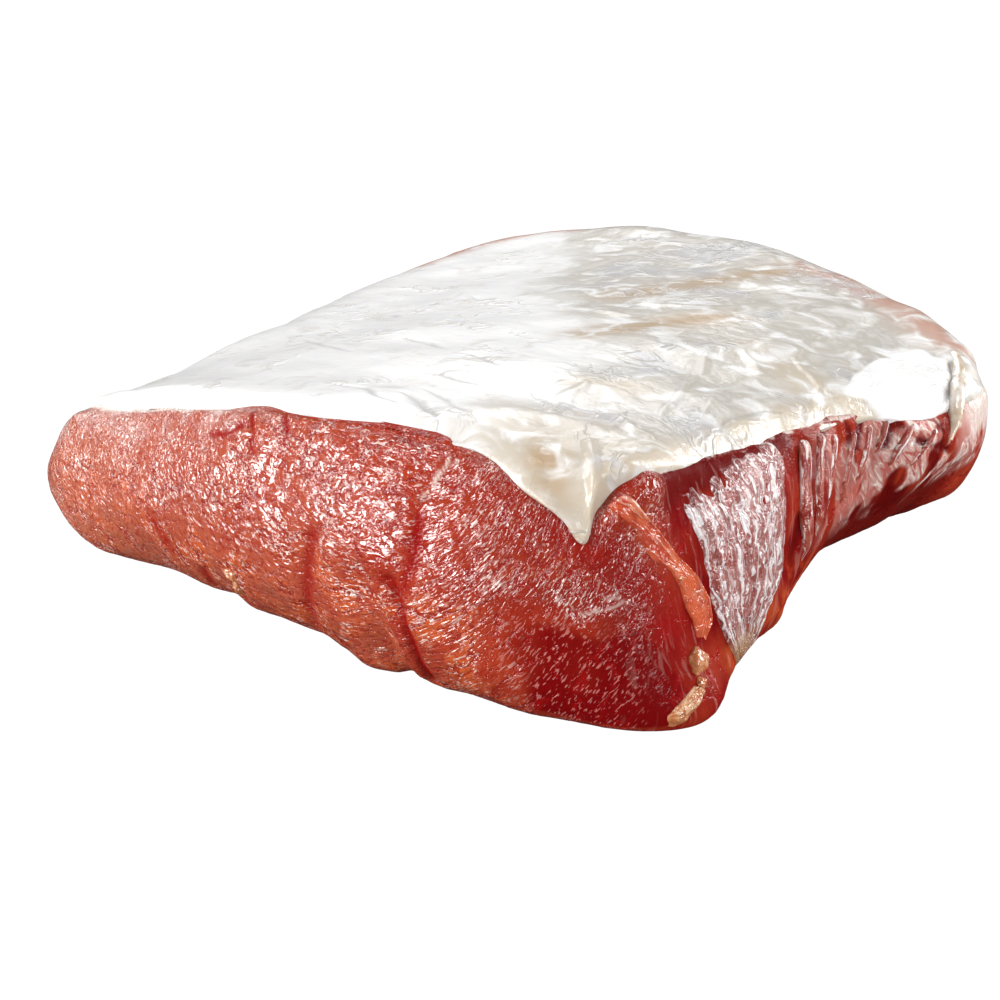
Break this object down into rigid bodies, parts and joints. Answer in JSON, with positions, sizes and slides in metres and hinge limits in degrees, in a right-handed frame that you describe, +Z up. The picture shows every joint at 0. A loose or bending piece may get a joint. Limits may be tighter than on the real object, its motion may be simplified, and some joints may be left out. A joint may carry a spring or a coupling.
{
  "type": "raw beef sirloin",
  "caption": "Raw boneless beef sirloin joint with a square-cut lean face, a crowned back under a thin white fat cap and a flat underside it rests on",
  "frame": {"origin": "middle of the joint's bounding box in plan, at the height of the flat underside", "axes": "+X along the near cut face from the thin tail side to the thick chine side, +Y back along the loin away from the near cut face, +Z up"},
  "size_m": [0.285, 0.3342, 0.0781],
  "materials": {
    "lean": "raw lean beef, wet and slightly glossy",
    "fat_cap": "smooth beef fat and silverskin, soft sheen"
  },
  "bodies": {
    "root": {"lean": "lean", "fat_cap": "fat_cap"}
  },
  "joints": []
}
